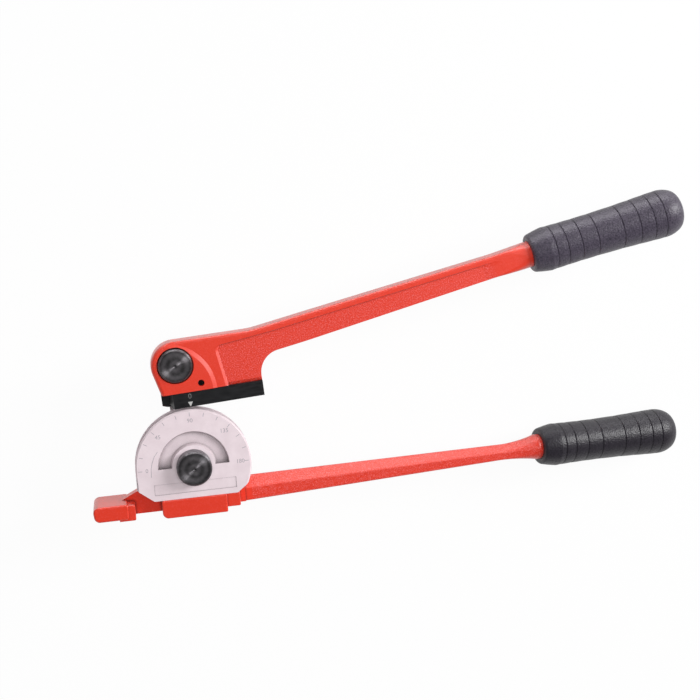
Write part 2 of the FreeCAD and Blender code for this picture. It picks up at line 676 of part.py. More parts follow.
def upper_bar():
    """Flat bar of the upper handle, which swells to the round collar at the grip."""
    start, along = upper_axis()
    level = compass(size.handle_angle)
    across = compass(size.handle_angle + 90)
    flare = size.handle_reach - size.flare_length
    wires = []
    for reach, high, low, swell in (
            (size.bar_start, size.bar_high, size.bar_low, 0.0),
            (flare, size.flare_high, size.flare_low, 0.0),
            (flare + size.swell_run, size.flare_high, size.flare_low, size.swell_rise)):
        front = size.head_rim + swell
        back = -size.head_back - swell
        corners = [(high + swell, front, FRONT_EDGE + swell), (high + swell, back, BACK_EDGE + swell),
                   (-low - swell, back, BACK_EDGE + swell), (-low - swell, front, FRONT_EDGE + swell)]
        wires.append(section(bar_point(reach, 0), level, across, corners))
    wires.append(section(flare_end(start, along), along, across,
                         round_section(size.collar_r, 4, 45)))
    return bar_and_flare(wires)


def bar_and_flare(wires):
    """A straight bar between the first two sections, and a smooth flare through the others."""
    return [Part.makeLoft(wires[:2], True, True), Part.makeLoft(wires[1:], True, False)]


def upper_handle():
    """Head with its pad, recess, slot and rough web, then the bar, collar and tang."""
    back = -size.head_back
    seat = (head_point(0, -size.shoe_seat), compass(size.head_tilt))
    root = (bar_point(size.bar_start, 0), compass(size.handle_angle + 90))
    head = soften(head_plate(back, size.head_rim, FRONT_EDGE), back, BACK_EDGE, (seat, root))
    solid = joined([head, head_pad()] + upper_bar() + collar_and_tang(*upper_axis()))
    return solid.cut([web_cut(), sill_cut()] + head_holes()).removeSplitter()


def head_holes():
    """Recess for the bolt head, bush bore, tongue slot and the spring pin's hole."""
    centre = pair()
    up = Vector(0, 0, 1)
    low = centre - up * 2 * size.head_back
    pin = head_point(size.pin_u, -size.pin_v) - up * 2 * size.head_back
    gap = size.run_gap
    slot = Part.makeBox(size.tongue_right - size.tongue_left + 2 * gap,
                        2 * size.tongue_height + gap, 2 * (size.tongue_half + gap),
                        Vector(size.tongue_left - gap, -size.shoe_seat - size.tongue_height,
                               -size.tongue_half - gap))
    slot.Placement = FreeCAD.Placement(centre, FreeCAD.Rotation(up, size.head_tilt))
    return [
        rod(centre + up * size.seat_floor, up, size.seat_r, 2 * size.head_pad),
        rod(low, up, size.shaft_r + size.shaft_gap + size.bush_wall, 4 * size.head_back),
        slot,
        rod(pin, up, size.pin_r + size.fit_gap, 4 * size.head_back),
    ]


def grip(start, along):
    """Moulded grip: waisted body, eight thin grooves, thick mouth, rounded end."""
    notch = size.grip_groove
    lip = size.grip_lip - size.grip_rim
    bore = size.collar_r + size.groove_gap
    core = size.tang_r + size.groove_gap
    deep = size.grip_length - size.grip_cap

    def at(reach, radius):
        return Vector(reach, radius, 0)

    def shared(share):
        reach, radius = share
        return at(reach * size.grip_length, radius * size.grip_r)

    mouth = [at((reach - 1) * size.grip_rim, radius * size.grip_r) for reach, radius in GRIP_MOUTH]
    grooves = [shared(share) for share in GRIP_GROOVES]
    end = [shared(share) for share in GRIP_END]
    steps = [at(deep, 0), at(deep, core), at(lip, core), at(lip, bore), at(-size.grip_rim, bore),
             mouth[0]]
    edges = [Part.makeLine(first, last) for first, last in zip(steps, steps[1:])]
    edges.append(Part.Arc(*mouth[0:3]).toShape())
    edges.append(Part.Arc(*mouth[2:5]).toShape())
    edges.append(Part.makeLine(mouth[4], grooves[0] - at(notch, 0)))
    for groove, ahead in zip(grooves, grooves[1:] + [None]):
        dip = groove - at(0, notch)
        rise = groove + at(notch, 0)
        edges += [Part.makeLine(groove - at(notch, 0), dip), Part.makeLine(dip, rise)]
        if ahead:
            crown = (groove + ahead) / 2 + at(0, size.grip_crown)
            edges.append(Part.Arc(rise, crown, ahead - at(notch, 0)).toShape())
    edges.append(Part.Arc(rise, end[0], end[1]).toShape())
    edges.append(Part.Arc(*end[1:4]).toShape())
    edges += [Part.makeLine(end[3], at(size.grip_length, 0)),
              Part.makeLine(at(size.grip_length, 0), steps[0])]
    body = Part.Face(Part.Wire(edges)).revolve(Vector(), Vector(1, 0, 0), 360)
    body.Placement = FreeCAD.Placement(start, FreeCAD.Rotation(Vector(1, 0, 0), along))
    return body


def lower_bar():
    """Ridged bar that leans backwards from the casting to the lower grip."""
    start, along = lower_axis()
    end = flare_end(start, along)
    flare = size.grip_x - size.lower_flare
    wires = []
    for reach, ridge, foot, half, swell in (
            (size.bar_root, size.ridge_root, size.foot_root, size.half_root, 0.0),
            (flare, size.ridge_end, size.foot_end, size.half_end, 0.0),
            (flare + size.swell_run, size.ridge_end, size.foot_end, size.half_end,
             size.swell_rise)):
        share = (reach - size.bar_root) / (end.x - size.bar_root)
        middle = Vector(reach, 0, between(-size.bar_depth, end.z - size.bar_drop, share))
        slant = half + swell - RIDGE_SLANT
        soft = BACK_EDGE + swell
        corners = [(swell - ridge, 0, RIDGE_EDGE), (-size.brow, half + swell, soft),
                   (-foot - swell, slant, soft), (-foot - swell, -slant, soft),
                   (-size.brow, -half - swell, soft)]
        wires.append(section(middle, Vector(1, 0, 0), Vector(0, 1, 0), corners))
    across = Vector(0, 0, 1).cross(along).normalize()
    wires.append(section(end, along, across, round_section(size.collar_r, 5, 0)[::-1]))
    return bar_and_flare(wires)


def hook_block():
    """Block of the pipe hook."""
    left = -(size.bend_r + size.hook_reach)
    right = -(size.bend_r + size.hook_gap)
    block = slab([(left, -size.hook_top, LARGE), (left + size.hook_lean, -size.hook_bottom, LARGE),
                  (right, -size.hook_bottom, MEDIUM), (right, -size.hook_top, MEDIUM)],
                 -size.cast_back, size.hook_front)
    block = soften(block, size.hook_front, HOOK_EDGE)
    return soften(block, -size.cast_back, HOOK_EDGE)


def pipe_cup():
    """Cup between the hook and the pipe, and the back plate's web behind the pipe."""
    left = -(size.bend_r + 2 * size.hook_gap)
    right = -(size.bend_r + size.lip_reach)
    front = size.hook_front - size.lip_step
    cup = slab([(left, -size.lip_top, SHARP), (left, -size.lip_bottom, SHARP),
                (right, -size.lip_bottom, SMALL), (right, -size.lip_top, SMALL)],
               -size.former_back - size.plate_thick, front)
    return soften(cup, front, STEP_EDGE)


def back_plate():
    """Plate behind the former with its round boss, and the thick beam below it."""
    front = -size.former_back
    back = front - size.plate_thick
    hook = -(size.bend_r + 2 * size.hook_gap)
    root = size.bar_root + HIDDEN
    neck = math.sqrt(size.boss_r ** 2 - size.plate_half ** 2)
    plate = slab([(hook, -size.hook_bottom, SHARP), (root, -size.hook_bottom, SHARP),
                  (root, -size.beam_top, MEDIUM), (size.plate_half, neck, SHARP),
                  (-size.plate_half, neck, SHARP),
                  (-size.plate_left, -size.plate_shoulder, MEDIUM),
                  (hook, -size.lip_top, SHARP)], back, front)
    boss = Part.makeCylinder(size.boss_r, size.plate_thick, Vector(0, 0, back))
    beam = slab([(hook, -size.step_bottom, SHARP), (root, -size.step_bottom, SHARP),
                 (root, -size.beam_top, MEDIUM), (-size.lug_left, -size.beam_top, MEDIUM),
                 (-size.bend_r, -size.lip_top, MEDIUM), (hook, -size.lip_top, SHARP)],
                size.beam_step - size.cast_back, back)
    return [plate, boss, beam]


def vice_lug():
    """Block below the former for the vice's jaws."""
    top = -size.former_flat - size.run_gap
    lug = slab([(-size.lug_left, top, SMALL), (-size.lug_left, -size.lug_bottom, LARGE),
                (size.lug_right, -size.lug_bottom, SMALL), (size.lug_right, top, SMALL)],
               -size.cast_back, size.hook_front)
    lug = soften(lug, size.hook_front, LUG_EDGE)
    return soften(lug, -size.cast_back, LUG_EDGE)


def root_step():
    """Step between the vice lug and the lower bar."""
    top = -size.former_flat - size.run_gap
    left = size.lug_right - MEDIUM
    step = slab([(left, top, SHARP), (left, -size.step_bottom, SHARP),
                 (size.step_right, -size.step_bottom, SMALL), (size.step_right, top, SMALL)],
                -size.cast_back, size.step_front)
    return soften(step, size.step_front, STEP_EDGE)


def lower_handle():
    """One casting: hook, pipe cup, back plate, beam, vice lug, step, bar and tang."""
    up = Vector(0, 0, 1)
    deep = -size.cast_back
    solid = joined(back_plate() + [hook_block(), pipe_cup(), vice_lug(), root_step()]
                   + lower_bar() + collar_and_tang(*lower_axis()))
    pipe = rod(Vector(-size.bend_r, -2 * size.lip_bottom, 0), Vector(0, 1, 0),
               size.pipe_r + size.groove_gap, 2 * size.lip_bottom)
    bore = rod(Vector(0, 0, deep), up, size.shaft_r + size.fit_gap, 2 * size.cast_back)
    dowels = [rod(Vector(side * size.dowel_reach, -size.dowel_drop,
                         -size.former_back - size.dowel_depth),
                  up, size.dowel_r + size.fit_gap, size.dowel_depth) for side in (-1, 1)]
    return solid.cut([pipe, bore] + dowels).removeSplitter()


NODES = [
    bending_former(),
    former_dowels(),
    link_plate(),
    slide_shoe(),
    spring_pin(),
    bolt("pivot_bolt", "knob_r", "former_front", f"{NUT_MAIN} - {NUT_END}"),
    nut("pivot_nut", NUT_MAIN),
    ring("pivot_thrust_washer", "shaft_r + shaft_gap", "thrust_r",
         f"{PLATE_BACK} - thrust_thick", PLATE_BACK),
    ring("pivot_plain_washer", "shaft_r + shaft_gap", "washer_r", NUT_MAIN, MAIN_WASHER),
    ring("link_bush", "shaft_r + shaft_gap", BUSH, LINK_BACK, LINK_FRONT),
    bolt("head_bolt", "head_knob_r", KNOB_SEAT, f"{NUT_HEAD} - {NUT_END}", PAIR_X, PAIR_Y),
    nut("head_nut", NUT_HEAD, PAIR_X, PAIR_Y),
    ring("head_thrust_washer", "shaft_r + shaft_gap", "thrust_r", "seat_floor + run_gap",
         KNOB_SEAT, PAIR_X, PAIR_Y),
    ring("head_plain_washer", "shaft_r + shaft_gap", "washer_r", NUT_HEAD, LINK_BACK,
         PAIR_X, PAIR_Y),
    ring("head_bush", "shaft_r + shaft_gap", BUSH, "-head_back", "seat_floor", PAIR_X, PAIR_Y),
    ring("link_spacer", "shaft_r + shaft_gap", "spacer_r", LINK_FRONT, "-head_back - run_gap",
         PAIR_X, PAIR_Y),
    feature("lower_handle", lower_handle()),
    feature("lower_grip", grip(*lower_axis())),
    feature("upper_handle", upper_handle()),
    feature("upper_grip", grip(*upper_axis())),
]

doc.recompute()
for thing in doc.Objects:
    if {"Invalid", "Error"} & set(thing.State):
        raise RuntimeError(f"{thing.Name} failed: {thing.State}")
os.makedirs("parts", exist_ok=True)
for node in NODES:
    shape = node.Shape
    if shape.isNull() or not shape.isValid() or not shape.Solids:
        raise RuntimeError(f"{node.Label} isn't a valid solid")
    shape.exportStep(f"parts/{node.Label}.step")
    print(node.Label, len(shape.Solids), "solid(s)", round(shape.Volume), "mm3")
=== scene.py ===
"""Looks of the hand pipe bender: paint, coatings, dial marks, light and camera."""

import math

import bpy
from mathutils import Matrix, Vector


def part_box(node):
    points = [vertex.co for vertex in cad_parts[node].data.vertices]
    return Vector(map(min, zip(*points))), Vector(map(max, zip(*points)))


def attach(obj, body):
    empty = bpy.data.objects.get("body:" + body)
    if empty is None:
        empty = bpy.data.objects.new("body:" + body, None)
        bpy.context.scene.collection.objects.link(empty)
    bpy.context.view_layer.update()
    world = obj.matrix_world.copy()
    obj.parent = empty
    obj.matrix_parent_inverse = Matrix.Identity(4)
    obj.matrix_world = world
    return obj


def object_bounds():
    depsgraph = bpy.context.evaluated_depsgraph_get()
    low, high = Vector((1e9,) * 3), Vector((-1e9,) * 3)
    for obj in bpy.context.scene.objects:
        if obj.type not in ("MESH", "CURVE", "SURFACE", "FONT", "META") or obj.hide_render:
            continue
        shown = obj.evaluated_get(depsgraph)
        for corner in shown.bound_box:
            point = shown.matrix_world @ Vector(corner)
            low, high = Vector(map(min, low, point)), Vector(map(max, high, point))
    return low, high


MM = 0.001

# Camera: place and axes of the view that the object was photographed from, lens in pixels and
# sensor in millimetres, and how far it sees in metres
IMAGE_WIDTH = 700
FOCAL_PIXELS = 1254
SENSOR = 36.0
CAMERA_PLACE = Vector((-32.2, 238.0, 934.0)) * MM
CAMERA_RIGHT = Vector((0.9816, -0.0677, 0.1785))
CAMERA_UP = Vector((0.0959, 0.9833, -0.1545))
CAMERA_REACH = 50.0

# Dial: the zero's direction, the last reading and the steps in degrees, and radii and sizes in
# millimetres on the former's scale face
DIAL_ZERO = 180
DIAL_END = 180
TICK_STEP = 15
TICK_INNER = 38.6
TICK_OUTER = 41.6
NUMERAL_STEP = 45
NUMERAL_RADIUS = 35.2
NUMERAL_SIZE = 4.4

# Thin engraved line beside the pocket, on the former's scale face in millimetres
ENGRAVED_LINE = ((-32.5, -5.2), (-32.2, 1.0), (-30.9, 6.2), (-28.9, 10.6), (-26.2, 14.0))

# Shoe mark: an arrow below a zero on the shoe's front face
SHOE_MARK_X = 1.7
ARROW_TOP = 49.9
ARROW_TIP = 46.2
ARROW_WIDTH = 3.6
ZERO_Y = 54.0
ZERO_SIZE = 5.6

# All marks: width of a line, how far they reach into a face and stand out of it, and steps in
# a numeral's curves
LINE_WIDTH = 0.42
MARK_SINK = 0.05
MARK_STAND = 0.05
CURVE_STEPS = 3

# Rolled strip inside the spring pin, a dark piece that fills its bore as painted shade: thickness
# and radii in millimetres, turns and their steps
COIL_STRIP = 0.36
COIL_OUTER = 1.68
COIL_INNER = 0.4
COIL_TURNS = 2.5
COIL_STEPS = 24

# Red enamel: colours from the pits of its grain, darkened as painted shade, to the tops, paled as
# painted glints; grain and waves in millimetres
RED_PIT_SHADE = (0.69, 0.018, 0.002)
RED_PLAIN = (0.80, 0.031, 0.005)
RED_TOP_GLINT = (0.88, 0.16, 0.155)
RED_GRAIN = 0.85
RED_GRAIN_DEPTH = 0.30
RED_WAVE = 4.0
RED_WAVE_DEPTH = 0.12

# Where the grain shows: share of it on dressed faces, and depth of the rough web and reach of
# the change in millimetres
DRESSED = 0.18
WEB_DEPTH = 1.2
MASK_EDGE = 0.3

# Painted shade in inner corners and in the former's pocket, darkening the coat's colour: reach in
# millimetres, colour, and the openness where it starts and where it is at its full share
CORNER_SHADE_REACH = 2.6
CORNER_SHADE_RED = (0.12, 0.003, 0.003)
POCKET_SHADE_REACH = 9.0
POCKET_SHADE_GREY = (0.10, 0.085, 0.09)
CORNER_NONE = 0.92
CORNER_FULL = 0.5
CORNER_SHARE = 0.75
CORNER_SAMPLES = 8

# Dark and light tones of the other materials
COAT_TONES = ((0.775, 0.655, 0.695), (0.855, 0.735, 0.775))
TURNED_TONES = ((0.085, 0.0799, 0.085), (0.289, 0.272, 0.289))
# The pin's near-black tones are painted shade for the hole it sits in
PIN_SHADE_TONES = ((0.006, 0.006, 0.007), (0.014, 0.014, 0.015))
ZINC_TONES = ((0.42, 0.42, 0.43), (0.58, 0.58, 0.57))
BRONZE_TONES = ((0.30, 0.17, 0.07), (0.55, 0.35, 0.16))
SHOE_TONES = ((0.008, 0.008, 0.009), (0.018, 0.018, 0.020))
# The grips are one plastic: the upper one's tones are lightened as painted light, the lower one's
# darkened as painted shade
UPPER_GRIP_LIT_TONES = ((0.0238, 0.01955, 0.0323), (0.102, 0.085, 0.119))
LOWER_GRIP_SHADED_TONES = ((0.007, 0.00575, 0.0095), (0.030, 0.025, 0.035))
ENGRAVED_TONES = ((0.34, 0.31, 0.34), (0.52, 0.47, 0.51))
WHITE_TONES = ((0.42, 0.42, 0.42), (0.62, 0.62, 0.60))
WORN_TONES = ((0.10, 0.10, 0.10), (0.24, 0.24, 0.24))

# Turned steel: scales of its fine and broad rings, and share of the broad ones in the tone
FINE_RINGS = 0.45
BROAD_RINGS = 0.055
BROAD_SHARE = 0.38

# Pebbles of the grips' skin, in number to a millimetre
PEBBLE_SCALE = 0.9

# Floor: gap below the tool in millimetres, half of its side in metres, its tone, and how much
# of it the camera and reflections see as plain white
FLOOR_GAP = 0.5
FLOOR_REACH = 6.0
FLOOR_TONE = (0.86, 0.86, 0.86)
FLOOR_WHITE = 0.95

# Room light on the object, and the walls' strength in reflections by their height
ROOM_LIGHT = 0.24
WALL_LOW = 0.1
WALL_HIGH = 0.6
WALL_WHITE = 0.75
WALL_DARK = 0.1

# Softboxes: places and sizes in metres, power in watts
LIGHT_TARGET = Vector((0.12, 0.03, 0.0))
KEY_PLACE = Vector((1.7, 0.72, 1.12))
KEY_SIZE = (0.64, 1.0)
KEY_POWER = 33
SHEEN_PLACE = Vector((0.1, 1.2, 0.1))
SHEEN_SIZE = (1.8, 0.5)
SHEEN_POWER = 16
FILL_PLACE = Vector((0.0, 0.3, 1.7))
FILL_SIZE = (0.8, 0.8)
FILL_POWER = 12.2


class Nodes:
    """The node tree of a new material or world, with short calls for adding and joining."""

    def __init__(self, owner):
        owner.use_nodes = True
        self.owner = owner
        self.tree = owner.node_tree
        self.shader = self.tree.nodes.get("Principled BSDF")

    def add(self, kind, **values):
        node = self.tree.nodes.new(kind)
        for key, value in values.items():
            setattr(node, key, value)
        return node

    def feed(self, socket, value):
        """Gives an input socket a link, a colour or a plain number."""
        if isinstance(value, bpy.types.NodeSocket):
            self.tree.links.new(value, socket)
        elif isinstance(value, tuple):
            socket.default_value = (*value, 1)
        else:
            socket.default_value = value

    def place(self, x=0.0, y=0.0, streak=1.0):
        """Object coordinates in millimetres from x, y; a streak above 1 stretches along X."""
        coords = self.add("ShaderNodeTexCoord")
        mapping = self.add("ShaderNodeMapping", vector_type="TEXTURE")
        mapping.inputs["Location"].default_value = (x * MM, y * MM, 0)
        mapping.inputs["Scale"].default_value = (streak * MM, MM, MM)
        self.feed(mapping.inputs["Vector"], coords.outputs["Object"])
        return mapping.outputs["Vector"]

    def split(self, vector, axis):
        """One coordinate of a vector."""
        node = self.add("ShaderNodeSeparateXYZ")
        self.feed(node.inputs["Vector"], vector)
        return node.outputs[axis]

    def noise(self, size, detail=3.0, rough=0.55, vector=None):
        """Noise whose grains are about size millimetres."""
        node = self.add("ShaderNodeTexNoise")
        node.inputs["Scale"].default_value = 1.0 / size
        node.inputs["Detail"].default_value = detail
        node.inputs["Roughness"].default_value = rough
        self.feed(node.inputs["Vector"], vector or self.place())
        return node.outputs["Fac"]

    def rings(self, vector, scale):
        """Smooth rings round the upright axis through the vector's zero."""
        node = self.add("ShaderNodeTexWave", wave_type="RINGS", rings_direction="Z")
        node.inputs["Scale"].default_value = scale
        self.feed(node.inputs["Vector"], vector)
        return node.outputs["Fac"]

    def ramp(self, value, stops):
        """Colours by value, from (value, colour) stops."""
        node = self.add("ShaderNodeValToRGB")
        elements = node.color_ramp.elements
        while len(elements) < len(stops):
            elements.new(0.5)
        for element, (place, colour) in zip(elements, stops):
            element.position = place
            element.color = (*colour, 1)
        self.feed(node.inputs["Fac"], value)
        return node.outputs["Color"]

    def tones(self, value, reach, tones):
        """A dark to a light tone, over a reach of the value."""
        return self.ramp(value, list(zip(reach, tones)))

    def span(self, value, reach, target):
        """A value carried from its reach to a target range and held within that."""
        node = self.add("ShaderNodeMapRange")
        for socket, number in zip(node.inputs[1:5], (*reach, *target)):
            socket.default_value = number
        self.feed(node.inputs["Value"], value)
        return node.outputs["Result"]

    def math(self, operation, first, second):
        node = self.add("ShaderNodeMath", operation=operation)
        self.feed(node.inputs[0], first)
        self.feed(node.inputs[1], second)
        return node.outputs["Value"]

    def mix(self, kind, share, first, second):
        """The first blended into the second by a share; kind is Float or Color."""
        node = self.add("ShaderNodeMix", data_type="RGBA" if kind == "Color" else "FLOAT")
        sockets = {socket.identifier: socket for socket in node.inputs}
        self.feed(sockets["Factor_Float"], share)
        self.feed(sockets[f"A_{kind}"], first)
        self.feed(sockets[f"B_{kind}"], second)
        return next(out for out in node.outputs if out.identifier == f"Result_{kind}")

    def bump(self, height, depth, under=None):
        """Bump of depth millimetres, over another bump when one is given."""
        node = self.add("ShaderNodeBump")
        node.inputs["Distance"].default_value = depth * MM
        self.feed(node.inputs["Height"], height)
        if under is not None:
            self.feed(node.inputs["Normal"], under)
        return node.outputs["Normal"]

    def cornered(self, colour, reach, dark):
        """A colour with painted shade in the inner corners of its own piece."""
        hollow = self.add("ShaderNodeAmbientOcclusion", samples=CORNER_SAMPLES, only_local=True)
        hollow.inputs["Distance"].default_value = reach * MM
        share = self.span(hollow.outputs["AO"], (CORNER_FULL, CORNER_NONE), (CORNER_SHARE, 0.0))
        return self.mix("Color", share, colour, dark)

    def shade(self, **values):
        """Sets the shader's sockets, whose names are written with low lines for spaces."""
        for key, value in values.items():
            self.feed(self.shader.inputs[key.replace("_", " ")], value)


def new_material(name):
    """The nodes of a new material."""
    return Nodes(bpy.data.materials.new(name))


def red_enamel(name, axis, smooth, rough):
    """Semi-gloss enamel on a casting: smooth where it was dressed, grainy past a level."""
    paint = new_material(name)
    level = paint.split(paint.place(), axis)
    cast = paint.span(level, (smooth, rough), (DRESSED, 1.0))
    grain = paint.noise(RED_GRAIN, detail=2.0, rough=0.6)
    speck = paint.math("MULTIPLY", paint.math("SUBTRACT", grain, 0.5), cast)
    # grain tone with painted shade in its pits and painted glints on its tops
    colour = paint.ramp(paint.math("ADD", speck, 0.5),
                        [(0.3, RED_PIT_SHADE), (0.5, RED_PLAIN), (0.7, RED_TOP_GLINT)])
    skin = paint.bump(paint.noise(RED_WAVE, detail=1.0), RED_WAVE_DEPTH)
    # painted shade darkens the enamel in its inner corners
    paint.shade(Base_Color=paint.cornered(colour, CORNER_SHADE_REACH, CORNER_SHADE_RED), Roughness=0.5,
                Coat_Weight=0.9, Coat_IOR=1.5, Coat_Roughness=0.36,
                Normal=paint.bump(speck, RED_GRAIN_DEPTH, under=skin))
    return paint.owner


def former_coat():
    """Pale satin coat of the cast former, with faint lilac clouds and a fine grain."""
    coat = new_material("former_coat")
    colour = coat.tones(coat.noise(size=9.0, detail=4.0), (0.3, 0.7), COAT_TONES)
    grain = coat.noise(size=0.6, detail=2.0)
    # painted shade greys the former's pocket and inner corners
    coat.shade(Base_Color=coat.cornered(colour, POCKET_SHADE_REACH, POCKET_SHADE_GREY),
               Roughness=coat.span(grain, (0.3, 0.7), (0.42, 0.6)),
               Normal=coat.bump(grain, depth=0.05))
    return coat.owner


def turned_steel(name, centre):
    """Blackened steel with turned rings round an upright axis."""
    steel = new_material(name)
    vector = steel.place(centre.x, centre.y)
    stain = steel.math("MULTIPLY", steel.noise(size=2.5, detail=4.0), 1 - BROAD_SHARE)
    broad = steel.math("MULTIPLY", steel.rings(vector, BROAD_RINGS), BROAD_SHARE)
    tangent = steel.add("ShaderNodeTangent", direction_type="RADIAL", axis="Z")
    steel.shade(Base_Color=steel.tones(steel.math("ADD", stain, broad), (0.2, 0.8), TURNED_TONES),
                Metallic=0.9, Roughness=0.42, Anisotropic=0.85, Anisotropic_Rotation=0.25,
                Tangent=tangent.outputs["Tangent"],
                Normal=steel.bump(steel.rings(vector, FINE_RINGS), depth=0.08))
    return steel.owner


def blackened_steel():
    """Near-black steel of the rolled pin, its dark tone painted shade for the hole it sits in."""
    steel = new_material("blackened_steel")
    oil = steel.noise(size=0.5)
    steel.shade(Base_Color=steel.tones(oil, (0.35, 0.7), PIN_SHADE_TONES), Roughness=0.6,
                Normal=steel.bump(oil, depth=0.01))
    return steel.owner


def zinc_plate():
    """Bright zinc plating with faint brushing."""
    zinc = new_material("zinc_plate")
    brush = zinc.noise(size=0.4, vector=zinc.place(streak=6.667))
    zinc.shade(Base_Color=zinc.tones(brush, (0.3, 0.7), ZINC_TONES), Metallic=0.9,
               Roughness=zinc.span(brush, (0.3, 0.7), (0.28, 0.42)),
               Normal=zinc.bump(brush, depth=0.01))
    return zinc.owner


def sintered_bronze():
    """Porous bronze of the bushes and thrust washers."""
    bronze = new_material("sintered_bronze")
    pores = bronze.noise(size=0.35)
    bronze.shade(Base_Color=bronze.tones(pores, (0.35, 0.6), BRONZE_TONES), Metallic=0.85,
                 Roughness=0.45, Normal=bronze.bump(pores, depth=0.03))
    return bronze.owner


def pebbled_plastic(name, tones):
    """Moulded charcoal plastic of a grip with a fine pebbled skin."""
    plastic = new_material(name)
    cells = plastic.add("ShaderNodeTexVoronoi", feature="SMOOTH_F1")
    cells.inputs["Scale"].default_value = PEBBLE_SCALE
    plastic.feed(cells.inputs["Vector"], plastic.place())
    stain = plastic.noise(size=1.3, rough=0.7)
    plastic.shade(Base_Color=plastic.tones(stain, (0.3, 0.7), tones), Roughness=0.42,
                  Normal=plastic.bump(cells.outputs["Distance"], depth=0.22))
    return plastic.owner


def shoe_plastic():
    """Smooth satin black of the slide shoe, with faint rubbing marks."""
    shoe = new_material("shoe_plastic")
    rub = shoe.noise(size=1.6, vector=shoe.place(streak=5.0))
    shoe.shade(Base_Color=shoe.tones(rub, (0.35, 0.75), SHOE_TONES),
               Roughness=shoe.span(rub, (0.3, 0.7), (0.32, 0.5)),
               Normal=shoe.bump(rub, depth=0.02))
    return shoe.owner


def mark_paint(name, tones):
    """Worn paint of the dial's and the shoe's marks."""
    paint = new_material(name)
    wear = paint.noise(size=0.5)
    paint.shade(Base_Color=paint.tones(wear, (0.3, 0.7), tones), Roughness=0.55,
                Normal=paint.bump(wear, depth=0.01))
    return paint.owner


def put(name, data):
    """A new object in the scene."""
    thing = bpy.data.objects.new(name, data)
    bpy.context.scene.collection.objects.link(thing)
    return thing


def mesh_piece(name, corners, low, high, material, body):
    """A flat prism: corners (x, y) in millimetres, between two heights."""
    count = len(corners)
    vertices = [(x * MM, y * MM, level * MM) for level in (low, high) for x, y in corners]
    faces = [tuple(reversed(range(count))), tuple(range(count, 2 * count))]
    faces += [(i, (i + 1) % count, count + (i + 1) % count, count + i) for i in range(count)]
    mesh = bpy.data.meshes.new(name)
    mesh.from_pydata(vertices, [], faces)
    mesh.materials.append(material)
    piece = put(name, mesh)
    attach(piece, body)


def mark(name, corners, face, material, body):
    """A thin flat mark on a face."""
    mesh_piece(name, corners, face - MARK_SINK, face + MARK_STAND, material, body)


def numeral(name, text, place, size, material, body):
    """Plain upright numerals, centred at a place in millimetres."""
    curve = bpy.data.curves.new(name, "FONT")
    curve.body = text
    curve.size = size * MM
    curve.extrude = MARK_STAND * MM
    curve.align_x = "CENTER"
    curve.align_y = "CENTER"
    curve.resolution_u = CURVE_STEPS
    curve.materials.append(material)
    piece = put(name, curve)
    piece.location = Vector(place) * MM
    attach(piece, body)


def dial_marks():
    """Ticks and numerals, read clockwise from the hook, and the line beside the pocket."""
    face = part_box("bending_former")[1].z / MM
    engraved = mark_paint("engraved_mark", ENGRAVED_TONES)
    for reading in range(0, DIAL_END + 1, TICK_STEP):
        turn = math.radians(DIAL_ZERO - reading)
        out = Vector((math.cos(turn), math.sin(turn)))
        side = Vector((-out.y, out.x)) * LINE_WIDTH / 2
        corners = [out * TICK_INNER + side, out * TICK_INNER - side,
                   out * TICK_OUTER - side, out * TICK_OUTER + side]
        mark(f"dial_tick_{reading}", [tuple(corner) for corner in corners], face, engraved,
             "lower_handle")
        if reading % NUMERAL_STEP == 0:
            numeral(f"dial_numeral_{reading}", str(reading), (*(out * NUMERAL_RADIUS), face),
                    NUMERAL_SIZE, engraved, "lower_handle")
    back = [(x + LINE_WIDTH, y) for x, y in reversed(ENGRAVED_LINE)]
    mark("engraved_line", [*ENGRAVED_LINE, *back], face, engraved,
         "lower_handle")


def shoe_marks():
    """The zero and the arrow on the shoe that point at the dial."""
    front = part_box("slide_shoe")[1].z / MM
    white = mark_paint("shoe_mark", WHITE_TONES)
    half = ARROW_WIDTH / 2
    corners = [(SHOE_MARK_X - half, ARROW_TOP), (SHOE_MARK_X, ARROW_TIP),
               (SHOE_MARK_X + half, ARROW_TOP)]
    mark("shoe_arrow", corners, front, white, "upper_handle")
    worn = mark_paint("shoe_mark_worn", WORN_TONES)
    numeral("shoe_zero", "0", (SHOE_MARK_X, ZERO_Y, front), ZERO_SIZE, worn,
            "upper_handle")


def pin_coil():
    """The inner turns of the rolled spring pin, in its dark steel, filling the open end's bore as
    painted shade.
    """
    low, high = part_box("shoe_spring_pin")
    middle = (low + high) / 2 / MM
    count = int(COIL_TURNS * COIL_STEPS)
    outer = []
    inner = []
    for step in range(count + 1):
        turn = math.tau * step / COIL_STEPS
        radius = COIL_OUTER + (COIL_INNER - COIL_OUTER) * step / count
        way = Vector((math.cos(turn), math.sin(turn)))
        outer.append(tuple(way * radius + middle.xy))
        inner.append(tuple(way * (radius - COIL_STRIP) + middle.xy))
    mesh_piece("pin_coil_bore_shade", outer + inner[::-1], low.z / MM, high.z / MM,
               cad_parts["shoe_spring_pin"].data.materials[0],
               "upper_handle")


def give(names, material):
    """Puts one material on CAD nodes."""
    for name in names:
        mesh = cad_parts[name].data
        mesh.materials.clear()
        mesh.materials.append(material)


